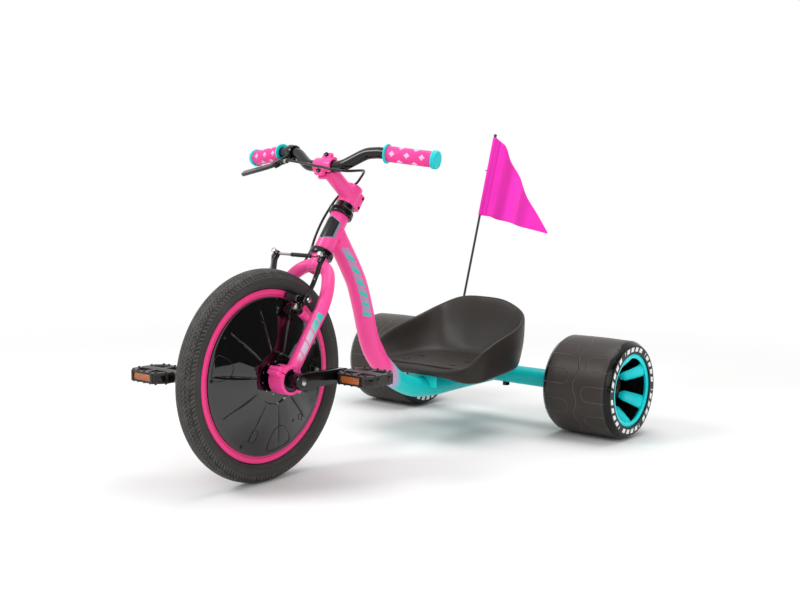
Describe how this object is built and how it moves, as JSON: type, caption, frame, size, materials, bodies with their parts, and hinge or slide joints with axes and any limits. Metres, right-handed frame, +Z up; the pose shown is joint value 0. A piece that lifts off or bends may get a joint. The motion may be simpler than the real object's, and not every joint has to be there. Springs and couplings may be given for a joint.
{
  "type": "drift trike",
  "caption": "Low pedal trike with a cranked front wheel, a linear-pull brake, a moulded bucket seat, wide slick rear wheels and a pennant on a leaning pole.",
  "frame": {"origin": "middle of the outer box in plan, on the ground under the wheels", "axes": "+Z up, +Y to the rear, -Y the way the rider faces, +X to the left of the rider"},
  "size_m": [0.726, 1.1454, 0.6655],
  "materials": {
    "pink_paint": "satin gloss pink enamel",
    "rim_paint": "deep pink enamel rim",
    "black_paint": "gloss black paint",
    "teal_paint": "satin gloss teal enamel",
    "bright_steel": "bright plated steel",
    "tyre_rubber": "charcoal rubber with a fine file tread",
    "cover_plastic": "gloss black moulded cover",
    "resin": "textured black resin",
    "amber_lens": "amber reflector",
    "seat_plastic": "satin charcoal moulding",
    "sleeve_plastic": "satin charcoal moulding with black shoulders",
    "hub_plastic": "teal moulding",
    "grip_rubber": "soft pink rubber with raised diamonds",
    "plug_rubber": "teal rubber",
    "brake_rubber": "black rubber",
    "cable_jacket": "black cable jacket",
    "pole_plastic": "black fibreglass pole",
    "flag_cloth": "magenta woven nylon"
  },
  "bodies": {
    "frame": {"head_tube": "pink_paint", "main_tube": "pink_paint", "rear_beam": "teal_paint", "seat_bracket": "teal_paint", "rear_axle_left": "black_paint", "rear_axle_right": "black_paint", "flag_socket": "pole_plastic", "flag_pole": "pole_plastic", "flag": "flag_cloth", "lower_headset_cup": "black_paint", "upper_headset_cup": "black_paint"},
    "fork": {"steerer": "pink_paint", "fork_leg_left": "pink_paint", "fork_leg_right": "pink_paint", "axle_clamp_left": "pink_paint", "axle_clamp_right": "pink_paint", "front_bearing_left": "bright_steel", "front_bearing_right": "bright_steel", "headset_cover": "black_paint", "stem": "pink_paint", "stem_faceplate": "pink_paint", "faceplate_bolt_upper": "black_paint", "faceplate_bolt_lower": "black_paint", "handlebar": "black_paint", "grip_left": "grip_rubber", "grip_right": "grip_rubber", "bar_plug_left": "plug_rubber", "bar_plug_right": "plug_rubber", "lever_bracket": "black_paint", "barrel_adjuster": "bright_steel", "cable_housing": "cable_jacket"},
    "brake_lever": {"brake_lever": "black_paint"},
    "brake_arm_left": {"brake_arm_left": "black_paint", "brake_pad_left": "brake_rubber"},
    "brake_arm_right": {"brake_arm_right": "black_paint", "brake_pad_right": "brake_rubber", "brake_noodle": "bright_steel", "cable_boot": "brake_rubber"},
    "front_wheel": {"front_tyre": "tyre_rubber", "front_rim": "rim_paint", "front_hub": "black_paint", "wheel_cover_left": "cover_plastic", "wheel_cover_right": "cover_plastic", "crank_left": "black_paint", "crank_right": "black_paint"},
    "pedal_left": {"pedal_left": "resin", "reflector_left_front": "amber_lens", "reflector_left_rear": "amber_lens"},
    "pedal_right": {"pedal_right": "resin", "reflector_right_front": "amber_lens", "reflector_right_rear": "amber_lens"},
    "rear_wheel_left": {"rear_tyre_left": "sleeve_plastic", "rear_hub_left": "hub_plastic", "rear_bearings_left": "bright_steel"},
    "rear_wheel_right": {"rear_tyre_right": "sleeve_plastic", "rear_hub_right": "hub_plastic", "rear_bearings_right": "bright_steel"},
    "seat": {"seat_shell": "seat_plastic"}
  },
  "joints": [
    {"name": "steering", "type": "hinge", "parent": "frame", "child": "fork", "pos_m": [0, -0.37274, 0.2], "axis": [0, 0.599, 0.8007], "range_deg": [-45, 45]},
    {"name": "front_wheel_spin", "type": "hinge", "parent": "fork", "child": "front_wheel", "pos_m": [0, -0.37274, 0.2], "axis": [1, 0, 0], "continuous": true},
    {"name": "pedal_left_spin", "type": "hinge", "parent": "front_wheel", "child": "pedal_left", "pos_m": [0.154, -0.25874, 0.2], "axis": [1, 0, 0], "continuous": true},
    {"name": "pedal_right_spin", "type": "hinge", "parent": "front_wheel", "child": "pedal_right", "pos_m": [-0.154, -0.48674, 0.2], "axis": [1, 0, 0], "continuous": true},
    {"name": "rear_wheel_left_spin", "type": "hinge", "parent": "frame", "child": "rear_wheel_left", "pos_m": [0.28, 0.38926, 0.108], "axis": [1, 0, 0], "continuous": true},
    {"name": "rear_wheel_right_spin", "type": "hinge", "parent": "frame", "child": "rear_wheel_right", "pos_m": [-0.28, 0.38926, 0.108], "axis": [1, 0, 0], "continuous": true},
    {"name": "brake_lever_pull", "type": "hinge", "parent": "fork", "child": "brake_lever", "pos_m": [-0.12861, -0.20246, 0.59073], "axis": [0.2135, 0.5701, -0.7934], "range_deg": [0, 14], "stiffness_Nm_per_rad": 0.6, "springref_deg": -17.19},
    {"name": "brake_arm_left_close", "type": "hinge", "parent": "fork", "child": "brake_arm_left", "pos_m": [0.04, -0.31811, 0.32144], "axis": [0, -0.8007, 0.599], "range_deg": [0, 2.8], "deforming": ["cable_boot"]},
    {"name": "brake_arm_right_close", "type": "hinge", "parent": "fork", "child": "brake_arm_right", "pos_m": [-0.04, -0.31811, 0.32144], "axis": [0, 0.8007, -0.599], "range_deg": [0, 2.8], "deforming": ["cable_housing"]},
    {"name": "seat_slide", "type": "slide", "parent": "frame", "child": "seat", "axis": [0, 1, 0], "range_m": [-0.015, 0.005]}
  ],
  "couplings": [
    {"joint": "brake_arm_left_close", "follows": "brake_lever_pull", "ratio": 0.2},
    {"joint": "brake_arm_right_close", "follows": "brake_lever_pull", "ratio": 0.2}
  ]
}
